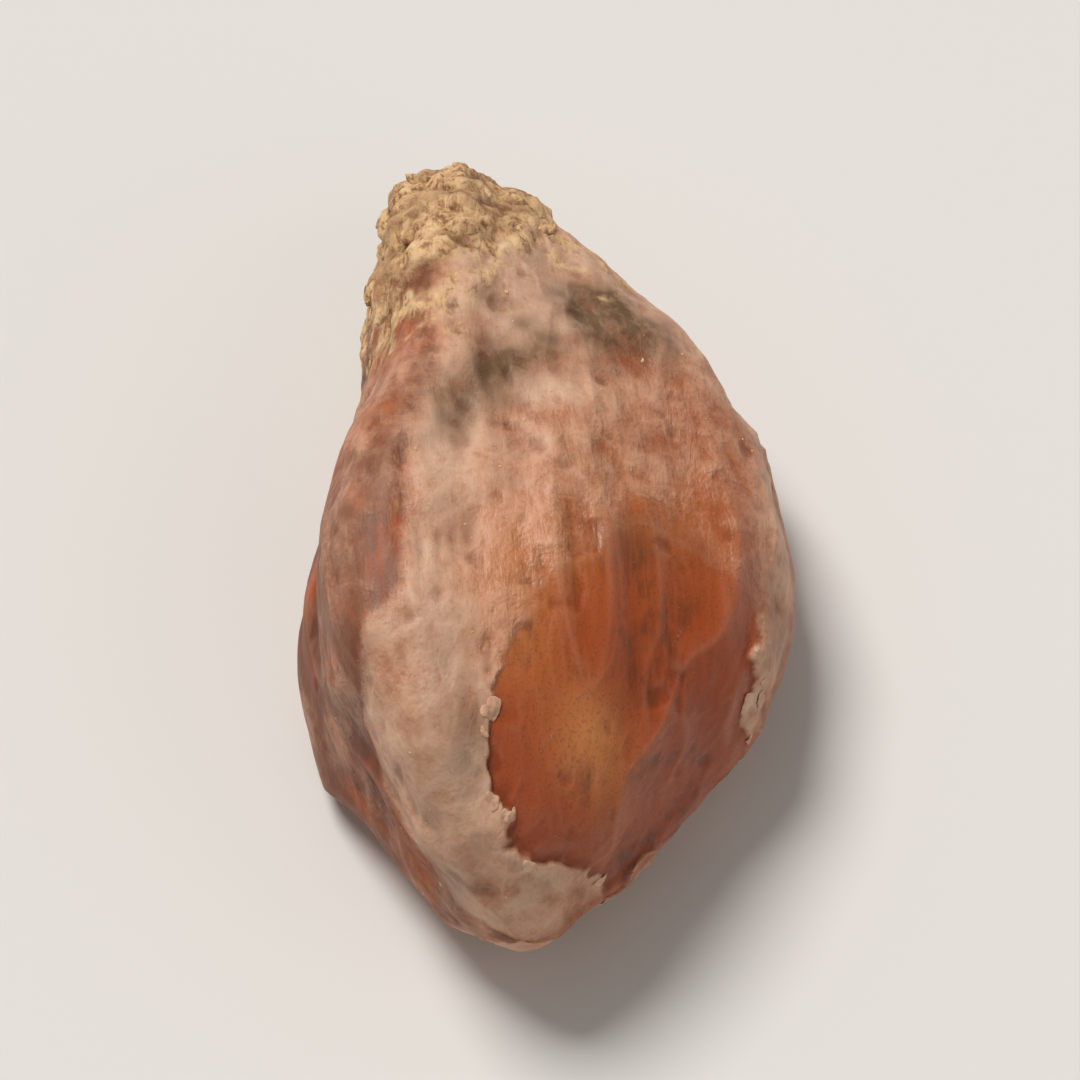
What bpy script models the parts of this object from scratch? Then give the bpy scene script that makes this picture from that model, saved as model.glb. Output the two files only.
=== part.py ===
"""Dried quince seed: one closed, wedge-like body, lying on its underside.

Metres, +Z up. The seed lies along Y with its pointed hilum end at +Y and its blunt chalaza end at -Y. It is
widest along X and thinnest along Z, and the base plane Z = 0 is its small flat resting spot.

Each cross section is a rounded wedge of three faces that neighbouring seeds pressed flat in the fruit: a broad
top face, a narrow side face at -X and an underside. The long ridges between the faces, the raphe along the thin
+X margin, the hilum knob, the chalaza boss, the dents and the dried wrinkles are raised by formula.
"""

import bpy
import numpy as np

MM = 0.001
LENGTH = 7.6
WIDTH = 4.3
THICKNESS = 3.0
FLAT_DEPTH = 0.16

RINGS = 58
SPOKES = 68

# Outline seen from above and from the side, in mm. Each row: place along the seed as an angle share (0 at the
# hilum end, 0.5 halfway, 1 at the chalaza end), left and right in X, bottom and top in Z.
OUTLINE = np.array([
    [0.00, -0.42, -0.42, 1.30, 1.30],
    [0.08, -0.86, 0.02, 0.90, 1.68],
    [0.18, -1.13, 0.48, 0.60, 2.06],
    [0.27, -1.22, 1.10, 0.37, 2.36],
    [0.36, -1.38, 1.74, 0.14, 2.62],
    [0.46, -1.84, 2.13, 0.01, 2.87],
    [0.54, -2.12, 2.16, 0.00, 2.99],
    [0.63, -2.03, 1.82, 0.02, 2.96],
    [0.72, -1.56, 1.20, 0.12, 2.72],
    [0.81, -1.17, 0.56, 0.36, 2.31],
    [0.91, -0.78, 0.00, 0.76, 1.74],
    [1.00, -0.38, -0.38, 1.24, 1.24],
])

# The faces that press the section into a wedge: direction of each face's normal in degrees from +X towards +Z,
# and its distance from the section's middle.
TOP_FACE = (70.0, 1.15)
SIDE_FACE = (169.0, 1.88)
UNDERSIDE = (-91.0, 1.08)
MARGIN = (-12.0, 1.85)
FACES = (TOP_FACE, SIDE_FACE, UNDERSIDE, MARGIN)
CORNER_SHARPNESS = 3.8

TWIST = 10.0

# Directions of the long ridges, in degrees in the section
TOP_RIDGE = 131.0
RAPHE = -10.0
LOWER_RIDGE = -150.0

# Heights of the relief, in mm
RIDGE_HEIGHT = 0.045
RAPHE_HEIGHT = 0.075
CHALAZA_HEIGHT = 0.08
WRINKLE_HEIGHT = 0.085
LUMP_HEIGHT = 0.06


def smooth_curve(stations, values, at):
    """Smooth curve through the stations: cubic Hermite pieces with slopes taken across each station."""
    slopes = np.gradient(values, stations)
    piece = np.clip(np.searchsorted(stations, at, side="right") - 1, 0, len(stations) - 2)
    start = stations[piece]
    span = stations[piece + 1] - start
    s = (at - start) / span
    from_start = (1 + 2 * s) * (1 - s) ** 2 * values[piece] + s * (1 - s) ** 2 * span * slopes[piece]
    to_end = s * s * (3 - 2 * s) * values[piece + 1] - s * s * (1 - s) * span * slopes[piece + 1]
    return from_start + to_end


def hill(x, centre, width):
    """Smooth hump of height 1 with the given half width."""
    return np.exp(-(((x - centre) / width) ** 2))


def ridge_line(angle, at_degrees, width):
    """Hump along one direction of the section, the same all round the turn."""
    turn = (angle - np.radians(at_degrees) + np.pi) % (2 * np.pi) - np.pi
    return np.exp(-((turn / width) ** 2))


def lattice_value(ix, iy, iz):
    """Fixed pseudo-random value from 0 to 1 for each point of a whole-number lattice."""
    mixed = (ix * 374761393 + iy * 668265263 + iz * 2147483647) & 0xFFFFFFFF
    mixed = ((mixed ^ (mixed >> 13)) * 1274126177) & 0xFFFFFFFF
    return ((mixed ^ (mixed >> 16)) & 0xFFFF) / 65535.0


def lumps(points, scale, offset):
    """Soft noise from -1 to 1: lattice values blended by a smooth cubic in X, Y and Z."""
    p = points * np.asarray(scale) + offset
    cell = np.floor(p).astype(np.int64)
    f = p - cell
    f = f * f * (3 - 2 * f)
    total = 0.0
    for dx in (0, 1):
        for dy in (0, 1):
            for dz in (0, 1):
                weight = np.abs(1 - dx - f[..., 0]) * np.abs(1 - dy - f[..., 1]) * np.abs(1 - dz - f[..., 2])
                total = total + weight * lattice_value(cell[..., 0] + dx, cell[..., 1] + dy, cell[..., 2] + dz)
    return 2 * total - 1


def wedge_radius(angle):
    """Distance from the middle to the rounded wedge, by a soft largest-of over the pressed faces."""
    reach = sum(
        np.maximum(0.0, np.cos(angle - np.radians(degrees)) / distance) ** CORNER_SHARPNESS
        for degrees, distance in FACES
    )
    return reach ** (-1 / CORNER_SHARPNESS)


def smooth_body(along, angle):
    """Body without relief. The wedge turns a little along the seed and rounds off towards both ends."""
    twist = np.radians(TWIST) * (along - 0.5)
    roundness = np.clip(1.6 * hill(along, 0.0, 0.20) + 1.2 * hill(along, 1.0, 0.16), 0, 1)
    dense = np.radians(np.arange(0, 360, 1.0))[None, :]

    def section(a):
        radius = (1 - roundness) * wedge_radius(a - twist) / 1.6 + roundness
        return radius * np.cos(a), radius * np.sin(a)

    around_x, around_z = section(dense)
    low_x, high_x = around_x.min(axis=1)[:, None], around_x.max(axis=1)[:, None]
    low_z, high_z = around_z.min(axis=1)[:, None], around_z.max(axis=1)[:, None]
    x, z = section(angle)
    x = 2 * (x - low_x) / (high_x - low_x) - 1
    z = 2 * (z - low_z) / (high_z - low_z) - 1

    left, right, bottom, top = (smooth_curve(OUTLINE[:, 0], OUTLINE[:, i], along) for i in (1, 2, 3, 4))
    x = (right + left) / 2 + (right - left) / 2 * x
    y = LENGTH / 2 * np.cos(np.pi * along) + 0 * angle
    z = (top + bottom) / 2 + (top - bottom) / 2 * z
    return np.stack([x, y, z], axis=-1)


def relief(points, along, angle):
    """Height of the ridges, dents and wrinkles above the smooth body, in mm."""
    turned = angle - np.radians(TWIST) * (along - 0.5)
    body = np.clip(np.sin(np.pi * along), 0, 1) ** 0.7
    height = RIDGE_HEIGHT * body * (ridge_line(turned, TOP_RIDGE, 0.14) + ridge_line(turned, LOWER_RIDGE, 0.15))
    furrows = ridge_line(turned, RAPHE + 20, 0.14) + ridge_line(turned, RAPHE - 20, 0.14)
    height += RAPHE_HEIGHT * body * (ridge_line(turned, RAPHE, 0.12) - 0.45 * furrows)

    x, y, z = points[..., 0], points[..., 1], points[..., 2]
    end = LENGTH / 2
    from_chalaza = np.hypot(x + 0.38, z - 1.24)
    at_chalaza = 1 / (1 + np.exp((y + end - 0.75) / 0.10))
    boss = hill(from_chalaza, 0.0, 0.30) - 0.5 * hill(from_chalaza, 0.62, 0.18)
    height += CHALAZA_HEIGHT * at_chalaza * boss

    # Crumbly hilum end, the shallow neck below it and the scar on its upper side
    height += hill(along, 0.05, 0.09) * (0.02 + LUMP_HEIGHT * lumps(points, 2.4, 3.1))
    height -= 0.03 * hill(along, 0.20, 0.04)
    height -= 0.10 * hill(x, -0.05, 0.25) * hill(y, end - 0.45, 0.35) * hill(z, 1.9, 0.5)

    # Dents and one swelling: below the neck, on the side face, by the thin margin, on the top and underneath
    height -= 0.06 * hill(x, -0.25, 0.8) * hill(y, 1.5, 0.9) * hill(z, 2.6, 0.8)
    height -= 0.10 * hill(x, -2.0, 0.9) * hill(y, -0.3, 1.7) * hill(z, 1.5, 0.6)
    height -= 0.06 * hill(x, 1.35, 0.5) * hill(y, -0.6, 1.3) * hill(z, 2.0, 0.7)
    height += 0.06 * hill(x, 0.35, 0.9) * hill(y, -1.5, 1.3) * hill(z, 2.8, 0.8)
    height -= 0.07 * hill(x, 0.5, 0.9) * hill(y, 0.9, 1.5) * hill(z, 0.1, 0.5)

    # Dried unevenness, and lengthwise wrinkles that are fainter on the top face
    height += LUMP_HEIGHT * body * lumps(points, (0.9, 0.55, 0.9), 11.7)
    streak = 1 - np.abs(lumps(points, (2.1, 0.45, 2.1), 5.3))
    on_top = 1 / (1 + np.exp(-(z - 2.0) / 0.2))
    height += WRINKLE_HEIGHT * (1 - 0.4 * on_top) * body * (streak**2 - 0.45)
    return height


def raised_points(along, angle):
    """Surface with its relief, in mm, for places along the seed (a column) and angles round it (a row)."""
    points = smooth_body(along, angle)
    step = 1e-3
    down = smooth_body(along + step, angle) - smooth_body(along - step, angle)
    across = smooth_body(along, angle + step) - smooth_body(along, angle - step)
    normal = np.cross(across, down)
    normal /= np.maximum(np.linalg.norm(normal, axis=-1, keepdims=True), 1e-12)
    return points + normal * relief(points, along, angle + 0 * along)[..., None]


def even_rings(count):
    """Places along the seed that lie at equal steps over its surface."""
    fine = np.linspace(0, 1, 2001)
    right = smooth_curve(OUTLINE[:, 0], OUTLINE[:, 2], fine)
    steps = np.hypot(np.diff(right), np.diff(LENGTH / 2 * np.cos(np.pi * fine)))
    run = np.concatenate([[0], np.cumsum(steps)])
    return np.interp(np.arange(1, count + 1) / (count + 1) * run[-1], run, fine)


def fit_to_size(points):
    """Points in metres, stretched to the stated size over the centre of the base, with the flat spot cut."""
    low, high = points.min(axis=0), points.max(axis=0)
    size = np.array([WIDTH, LENGTH, THICKNESS + FLAT_DEPTH])
    fitted = (points - low) / (high - low) * size - np.array([WIDTH / 2, LENGTH / 2, FLAT_DEPTH])
    fitted[:, 2] = np.maximum(fitted[:, 2], 0.0)
    return fitted * MM


def seed_mesh():
    """Closed mesh: rings round the seed joined by quads, and a fan to one point at each end."""
    along = even_rings(RINGS)[:, None]
    angle = (np.arange(SPOKES) * 2 * np.pi / SPOKES)[None, :]
    rings = raised_points(along, angle).reshape(-1, 3)
    ends = raised_points(np.array([[2e-3], [1 - 2e-3]]), angle).mean(axis=1)
    points = fit_to_size(np.concatenate([rings, ends]))

    ring = np.arange(RINGS * SPOKES).reshape(RINGS, SPOKES)
    beside = np.roll(ring, -1, axis=1)
    quads = np.stack([ring[:-1], beside[:-1], beside[1:], ring[1:]], axis=-1).reshape(-1, 4)
    hilum_end = len(rings)
    chalaza_end = hilum_end + 1
    faces = quads.tolist()
    faces += [[hilum_end, b, a] for a, b in zip(ring[0], beside[0])]
    faces += [[chalaza_end, a, b] for a, b in zip(ring[-1], beside[-1])]

    mesh = bpy.data.meshes.new("quince_seed")
    mesh.from_pydata(points.tolist(), [], [[int(v) for v in face] for face in faces])
    mesh.validate()
    mesh.update()
    return mesh


def dried_testa():
    """Satin red-brown seed coat under a thin dull film."""
    material = bpy.data.materials.new("dried_testa")
    material.use_nodes = True
    shader = material.node_tree.nodes["Principled BSDF"]
    shader.inputs["Base Color"].default_value = (0.36, 0.165, 0.085, 1)
    shader.inputs["Roughness"].default_value = 0.5
    shader.inputs["Metallic"].default_value = 0.0
    material.diffuse_color = (0.36, 0.165, 0.085, 1)
    return material


for old in list(bpy.data.objects):
    bpy.data.objects.remove(old, do_unlink=True)

seed = bpy.data.objects.new("quince_seed", seed_mesh())
seed.data.materials.append(dried_testa())
seed.data.shade_smooth()
bpy.context.scene.collection.objects.link(seed)
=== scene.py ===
"""Dried quince seed on a plain studio floor: fine seed surface, dried pulp, loose film flakes and dust.

Laid out as a Blender add-on. The seed's shape comes from one formula worked out on whole numpy arrays; its finish
comes from attributes stored on the mesh and from procedural node groups. Lengths in the formulas are in
millimetres and the meshes are in metres.
"""

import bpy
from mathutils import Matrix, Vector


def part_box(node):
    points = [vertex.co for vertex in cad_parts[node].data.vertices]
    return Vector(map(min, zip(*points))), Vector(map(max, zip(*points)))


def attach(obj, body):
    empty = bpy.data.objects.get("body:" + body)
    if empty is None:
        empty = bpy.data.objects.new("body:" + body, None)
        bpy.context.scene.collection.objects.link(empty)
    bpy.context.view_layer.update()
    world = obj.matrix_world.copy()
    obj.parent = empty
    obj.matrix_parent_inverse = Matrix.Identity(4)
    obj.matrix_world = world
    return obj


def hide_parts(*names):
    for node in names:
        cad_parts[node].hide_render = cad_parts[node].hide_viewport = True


bl_info = {
    "name": "Dried Quince Seed",
    "version": (1, 0, 0),
    "blender": (4, 5, 0),
    "location": "View3D > Sidebar > Quince Seed",
    "description": "Builds a dried quince seed with its film of mucilage, pulp crumbs and dust on a studio floor",
    "category": "Add Mesh",
}

import functools
import math

import bpy
import numpy as np
from mathutils import Vector

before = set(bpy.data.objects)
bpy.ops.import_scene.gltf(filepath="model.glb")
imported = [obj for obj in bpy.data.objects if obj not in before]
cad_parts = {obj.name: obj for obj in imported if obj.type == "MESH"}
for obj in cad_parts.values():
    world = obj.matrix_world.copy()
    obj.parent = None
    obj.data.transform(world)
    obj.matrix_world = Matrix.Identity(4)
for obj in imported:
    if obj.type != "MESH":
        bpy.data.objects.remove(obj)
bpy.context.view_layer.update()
SEED_LOW, SEED_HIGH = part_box("quince_seed")
SEED_SIZE = SEED_HIGH - SEED_LOW

MM = 0.001
HALF_LENGTH = SEED_SIZE.y / MM / 2

# Turn of the section from end to end and directions of its ridges and raphe, in degrees from +X towards +Z
TWIST = 10.0
TOP_RIDGE = 131.0
RAPHE = -10.0
LOWER_RIDGE = -150.0
CORNER_SHARPNESS = 3.8
BASE_RINGS = 58
BASE_SPOKES = 68

# Direction of each pressed face in degrees from +X towards +Z, and its distance from the section's middle
FACES = ((70.0, 1.15), (169.0, 1.88), (-91.0, 1.08), (-12.0, 1.85))

# Place along the seed as an angle share from the hilum end, then left and right in X, bottom and top in Z
OUTLINE = np.array([
    [0.00, -0.42, -0.42, 1.30, 1.30],
    [0.08, -0.86, 0.02, 0.90, 1.68],
    [0.18, -1.13, 0.48, 0.60, 2.06],
    [0.27, -1.22, 1.10, 0.37, 2.36],
    [0.36, -1.38, 1.74, 0.14, 2.62],
    [0.46, -1.84, 2.13, 0.01, 2.87],
    [0.54, -2.12, 2.16, 0.00, 2.99],
    [0.63, -2.03, 1.82, 0.02, 2.96],
    [0.72, -1.56, 1.20, 0.12, 2.72],
    [0.81, -1.17, 0.56, 0.36, 2.31],
    [0.91, -0.78, 0.00, 0.76, 1.74],
    [1.00, -0.38, -0.38, 1.24, 1.24],
])

# Broad humps and dents: height in mm, then middle and width in X, in Y and in Z
HUMPS = (
    (-0.10, (-0.05, 0.25), (HALF_LENGTH - 0.45, 0.35), (1.9, 0.5)),
    (-0.06, (-0.25, 0.8), (1.5, 0.9), (2.6, 0.8)),
    (-0.10, (-2.0, 0.9), (-0.3, 1.7), (1.5, 0.6)),
    (-0.06, (1.35, 0.5), (-0.6, 1.3), (2.0, 0.7)),
    (0.06, (0.35, 0.9), (-1.5, 1.3), (2.8, 0.8)),
    (-0.07, (0.5, 0.9), (0.9, 1.5), (0.1, 0.5)),
)

# Stains on the film: share, oval, and the distances past its edge where the stain starts and is full
SMEARS = (
    (1.00, ((0.77, 1.77), 0.30, 0.55, 0.88), 0.22, -0.20),
    (0.80, ((-0.42, 0.93), 0.22, 0.52, -0.80), 0.26, -0.12),
    (0.35, ((0.15, 1.55), 0.12, 0.42, -0.75), 0.22, -0.08),
    (0.30, ((-0.75, -2.50), 0.16, 0.40, 0.50), 0.22, -0.10),
)

# Lighter orange spots of the coat: share, then middle and width in X and in Y
ORANGE_SPOTS = (
    (0.95, (0.25, 0.34), (-2.50, 0.45)),
    (0.85, (-0.40, 0.36), (-1.60, 0.5)),
    (0.45, (0.7, 1.0), (-0.1, 0.8)),
    (0.8, (-0.25, 0.5), (-0.85, 0.5)),
)

# Middle of the hilum scar and its reach in X, Y and Z
SCAR = np.array([[-0.12, 3.50, 1.75], [0.30, 0.34, 0.40]])

# Fields of the skin that its material reads
SKIN_FIELDS = ("film", "edge", "side", "pulp", "stain", "scar", "crest", "hollow", "warmth")


# Shape of the seed


def smooth_curve(stations, values, at):
    """Cubic Hermite pieces through the stations, with slopes taken across each station."""
    slopes = np.gradient(values, stations)
    piece = np.clip(np.searchsorted(stations, at, side="right") - 1, 0, len(stations) - 2)
    start = stations[piece]
    span = stations[piece + 1] - start
    s = (at - start) / span
    from_start = (1 + 2 * s) * (1 - s) ** 2 * values[piece] + s * (1 - s) ** 2 * span * slopes[piece]
    to_end = s * s * (3 - 2 * s) * values[piece + 1] - s * s * (1 - s) * span * slopes[piece + 1]
    return from_start + to_end


def hill(x, centre, width):
    """Smooth hump of height 1: e to the minus square of the distance from the centre over the width."""
    return np.exp(-(((x - centre) / width) ** 2))


def ease(x, low, high):
    """0 below low, 1 above high and a smooth cubic between."""
    s = np.clip((x - low) / (high - low), 0.0, 1.0)
    return s * s * (3 - 2 * s)


def ridge_line(angle, at_degrees, width):
    """Hump along one direction of the section, the same all round the turn."""
    turn = (angle - np.radians(at_degrees) + np.pi) % (2 * np.pi) - np.pi
    return np.exp(-((turn / width) ** 2))


def lattice_value(ix, iy, iz):
    """Fixed pseudo-random value from 0 to 1 for each point of a whole-number lattice, by mixing bits."""
    mixed = (ix * 374761393 + iy * 668265263 + iz * 2147483647) & 0xFFFFFFFF
    mixed = ((mixed ^ (mixed >> 13)) * 1274126177) & 0xFFFFFFFF
    return ((mixed ^ (mixed >> 16)) & 0xFFFF) / 65535.0


def lumps(points, scale, offset):
    """Soft noise from -1 to 1: lattice values blended by a smooth cubic in X, Y and Z."""
    p = points * np.asarray(scale) + offset
    cell = np.floor(p).astype(np.int64)
    f = p - cell
    f = f * f * (3 - 2 * f)
    total = 0.0
    for dx in (0, 1):
        for dy in (0, 1):
            for dz in (0, 1):
                weight = np.abs(1 - dx - f[..., 0]) * np.abs(1 - dy - f[..., 1]) * np.abs(1 - dz - f[..., 2])
                total = total + weight * lattice_value(cell[..., 0] + dx, cell[..., 1] + dy, cell[..., 2] + dz)
    return 2 * total - 1


def creases(points, scale, offset):
    """Sharp-crested noise from 0 to 1: one minus the size of soft noise, squared."""
    return (1 - np.abs(lumps(points, scale, offset))) ** 2


def wedge_radius(angle):
    """Distance from the middle to the rounded wedge, by a soft largest-of over the pressed faces."""
    reach = sum(
        np.maximum(0.0, np.cos(angle - np.radians(degrees)) / distance) ** CORNER_SHARPNESS
        for degrees, distance in FACES
    )
    return reach ** (-1 / CORNER_SHARPNESS)


def smooth_body(along, angle):
    """Body without relief: a wedge section, stretched to the outline, turning a little and rounding at the ends."""
    twist = np.radians(TWIST) * (along - 0.5)
    roundness = np.clip(1.6 * hill(along, 0.0, 0.20) + 1.2 * hill(along, 1.0, 0.16), 0, 1)
    dense = np.radians(np.arange(0, 360, 1.0))[None, :]

    def section(a):
        radius = (1 - roundness) * wedge_radius(a - twist) / 1.6 + roundness
        return radius * np.cos(a), radius * np.sin(a)

    around_x, around_z = section(dense)
    low_x, high_x = around_x.min(axis=1)[:, None], around_x.max(axis=1)[:, None]
    low_z, high_z = around_z.min(axis=1)[:, None], around_z.max(axis=1)[:, None]
    x, z = section(angle)
    x = 2 * (x - low_x) / (high_x - low_x) - 1
    z = 2 * (z - low_z) / (high_z - low_z) - 1

    left, right, bottom, top = (smooth_curve(OUTLINE[:, 0], OUTLINE[:, i], along) for i in (1, 2, 3, 4))
    x = (right + left) / 2 + (right - left) / 2 * x
    y = HALF_LENGTH * np.cos(np.pi * along) + 0 * angle
    z = (top + bottom) / 2 + (top - bottom) / 2 * z
    return np.stack([x, y, z], axis=-1)


def main_relief(points, along, angle):
    """Height in mm of the ridges, raphe, chalaza boss, dents and wrinkles that the solid has too."""
    turned = angle - np.radians(TWIST) * (along - 0.5)
    body = np.clip(np.sin(np.pi * along), 0, 1) ** 0.7
    height = 0.045 * body * (ridge_line(turned, TOP_RIDGE, 0.14) + ridge_line(turned, LOWER_RIDGE, 0.15))
    furrows = ridge_line(turned, RAPHE + 20, 0.14) + ridge_line(turned, RAPHE - 20, 0.14)
    height += 0.075 * body * (ridge_line(turned, RAPHE, 0.12) - 0.45 * furrows)

    x, y, z = np.moveaxis(points, -1, 0)
    from_chalaza = np.hypot(x + 0.38, z - 1.24)
    at_chalaza = 1 / (1 + np.exp((y + HALF_LENGTH - 0.75) / 0.10))
    height += 0.08 * at_chalaza * (hill(from_chalaza, 0.0, 0.30) - 0.5 * hill(from_chalaza, 0.62, 0.18))

    height += hill(along, 0.05, 0.09) * (0.02 + 0.06 * lumps(points, 2.4, 3.1))
    height -= 0.03 * hill(along, 0.20, 0.04)
    for rise, in_x, in_y, in_z in HUMPS:
        height += rise * hill(x, *in_x) * hill(y, *in_y) * hill(z, *in_z)

    height += 0.06 * body * lumps(points, (0.9, 0.55, 0.9), 11.7)
    streak = 1 - np.abs(lumps(points, (2.1, 0.45, 2.1), 5.3))
    on_top = 1 / (1 + np.exp(-(z - 2.0) / 0.2))
    height += 0.085 * (1 - 0.4 * on_top) * body * (streak**2 - 0.45)
    return height


def raised_points(along, angle):
    """Surface with its main relief, in mm, for places along the seed (a column) and angles round it (a row)."""
    points = smooth_body(along, angle)
    step = 1e-3
    down = smooth_body(along + step, angle) - smooth_body(along - step, angle)
    across = smooth_body(along, angle + step) - smooth_body(along, angle - step)
    normal = np.cross(across, down)
    normal /= np.maximum(np.linalg.norm(normal, axis=-1, keepdims=True), 1e-12)
    return points + normal * main_relief(points, along, angle + 0 * along)[..., None]


def even_rings(count):
    """Places along the seed that lie at equal steps over its surface."""
    fine = np.linspace(0, 1, 2001)
    right = smooth_curve(OUTLINE[:, 0], OUTLINE[:, 2], fine)
    steps = np.hypot(np.diff(right), np.diff(HALF_LENGTH * np.cos(np.pi * fine)))
    run = np.concatenate([[0], np.cumsum(steps)])
    return np.interp(np.arange(1, count + 1) / (count + 1) * run[-1], run, fine)


def turn_of(count):
    """Equal angles round the section, as a row."""
    return (np.arange(count) * 2 * np.pi / count)[None, :]


ENDS = np.array([[2e-3], [1 - 2e-3]])


@functools.lru_cache(maxsize=1)
def base_corners():
    """Lowest and highest corners of the solid's own coarse grid before it is stretched to its stated size."""
    rings = raised_points(even_rings(BASE_RINGS)[:, None], turn_of(BASE_SPOKES)).reshape(-1, 3)
    ends = raised_points(ENDS, turn_of(BASE_SPOKES)).mean(axis=1)
    points = np.concatenate([rings, ends])
    return points.min(axis=0), points.max(axis=0)


def fit_to_size(points, flat_depth):
    """Points in mm, stretched to the solid's size and set over the centre of its base."""
    low, high = base_corners()
    size = np.array(SEED_SIZE) / MM + np.array([0, 0, flat_depth])
    corner = np.array([-SEED_SIZE.x / MM / 2, -HALF_LENGTH, -flat_depth])
    return (points - low) / (high - low) * size + corner


def grid_normals(points):
    """Outward unit normals of a grid that closes on itself round the seed, from neighbour differences."""
    down = np.gradient(points, axis=0)
    across = np.roll(points, -1, axis=1) - np.roll(points, 1, axis=1)
    normal = np.cross(across, down)
    return normal / np.maximum(np.linalg.norm(normal, axis=-1, keepdims=True), 1e-12)


def bending(points, normals, reach):
    """How far each point stands above the mean of four neighbours at the given reach, in mm."""
    rows = np.arange(len(points))
    above = points[np.clip(rows - reach, 0, len(points) - 1)]
    below = points[np.clip(rows + reach, 0, len(points) - 1)]
    beside = np.roll(points, reach, axis=1) + np.roll(points, -reach, axis=1)
    return np.sum((points - (above + below + beside) / 4) * normals, axis=-1)


# Where the dried film and pulp lie


def worn_oval(points, centre, half_x, half_y, lean):
    """Distance in mm outside a leaning oval seen along Z; negative inside it."""
    dx = points[..., 0] - centre[0]
    dy = points[..., 1] - centre[1]
    across = dx * np.cos(lean) + dy * np.sin(lean)
    along = dy * np.cos(lean) - dx * np.sin(lean)
    return (np.hypot(across / half_x, along / half_y) - 1) * min(half_x, half_y)


def film_fields(points, along, angle):
    """Film thickness share, rough distance in mm from a worn patch's edge, and the masks that go with them.

    The thickness is a smooth step over the distance outside each worn patch, narrow where the film broke and wide
    where it was rubbed thin, times a base that thins on the upper right of the top face and on the side. The masks
    are the side face, where the film's edge is broken instead of rubbed, and the line of the raphe.
    """
    ragged = 0.09 * lumps(points, 1.9, 1.3) + 0.07 * lumps(points, 4.6, 8.2) + 0.035 * lumps(points, 12.0, 2.9)
    x, y, z = np.moveaxis(points, -1, 0)
    turned = np.degrees(angle - np.radians(TWIST) * (along - 0.5)) % 360
    ridge = 122 + 40 * ease(-y, 1.2, 2.6) + 4 * lumps(points, 1.6, 61.2)
    side = ease(turned, ridge, ridge + 8) * ease(turned, 212, 198)
    low = 0.95 + 0.30 * lumps(points, (1.5, 1.5, 0.2), 4.7) + 0.10 * lumps(points, (5.0, 5.0, 0.5), 9.7)
    top_patch = worn_oval(points, (0.57, -1.95), 0.93, 1.55, -0.62) + 2.0 * ease(low - z, 0, 0.5) + ragged
    under_patch = worn_oval(points, (0.05, -0.6), 0.95, 1.7, 0.3) + 3.0 * ease(z - 0.6, 0, 0.4) + 1.3 * ragged
    under_patch = under_patch + 0.50 * lumps(points, (1.9, 1.2, 1.9), 44.2) + 0.04
    chip = np.hypot((y + 0.2) / 0.9, (z - 1.15) / 0.36) - 1
    side_patch = 0.4 * chip + 3.0 * (1 - side) + ragged
    fading = 0.05 + 0.95 * ease(y - 0.30 * x, -2.0, -0.9)
    cover = ease(top_patch, -0.35 * fading, 0.65 * fading) * ease(under_patch, -0.30, 0.50)
    cover = cover * ease(side_patch, -0.04, 0.22)
    # The film thins on the upper right of the top face and on the side face, letting the darker coat through: partly
    # thin film, partly painted shade on faces turned from the light
    base = 1 - 0.62 * hill(x, 1.25, 0.95) * hill(y, 0.10, 1.30) * ease(z, 1.2, 1.8) - 0.66 * side
    # Two blisters of thicker film below the neck: real relief, but their paleness is painted highlight
    base += 0.65 * hill(x, 0.05, 0.40) * hill(y, 0.78, 0.20) + 0.45 * hill(x, 0.42, 0.18) * hill(y, 1.62, 0.14)
    base -= 0.14 * hill(x, -0.30, 0.45) * hill(y, -0.95, 0.60) * ease(z, 1.4, 1.9)
    around = np.radians(turned)
    raphe = ridge_line(around, RAPHE, 0.055) * ease(along, 0.10, 0.22) * ease(along, 0.99, 0.93)
    base -= 0.55 * ridge_line(around, RAPHE, 0.08) + 0.25 * ridge_line(around, LOWER_RIDGE, 0.12)
    base += 0.24 * lumps(points, (2.0, 1.6, 2.0), 33.8) + 0.08 * lumps(points, 5.2, 14.9)
    return {
        "film": np.clip(base, 0.06, 1.3) * cover,
        "edge": np.minimum(np.minimum(top_patch, under_patch), side_patch),
        "side": side,
        "broken": 1 - ease(y - 0.30 * x, -2.1, -1.6) * ease(z, 1.0, 1.4),
        "raphe": raphe,
    }


def pulp_edge(points):
    """Rough distance in mm past the edge of the dried pulp on the hilum end, along Y with a slanting edge."""
    slant = 2.20 + 0.407 * points[..., 0]
    return points[..., 1] - slant + 0.42 * lumps(points, 1.3, 6.1) + 0.20 * lumps(points, 3.6, 3.3)


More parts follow.
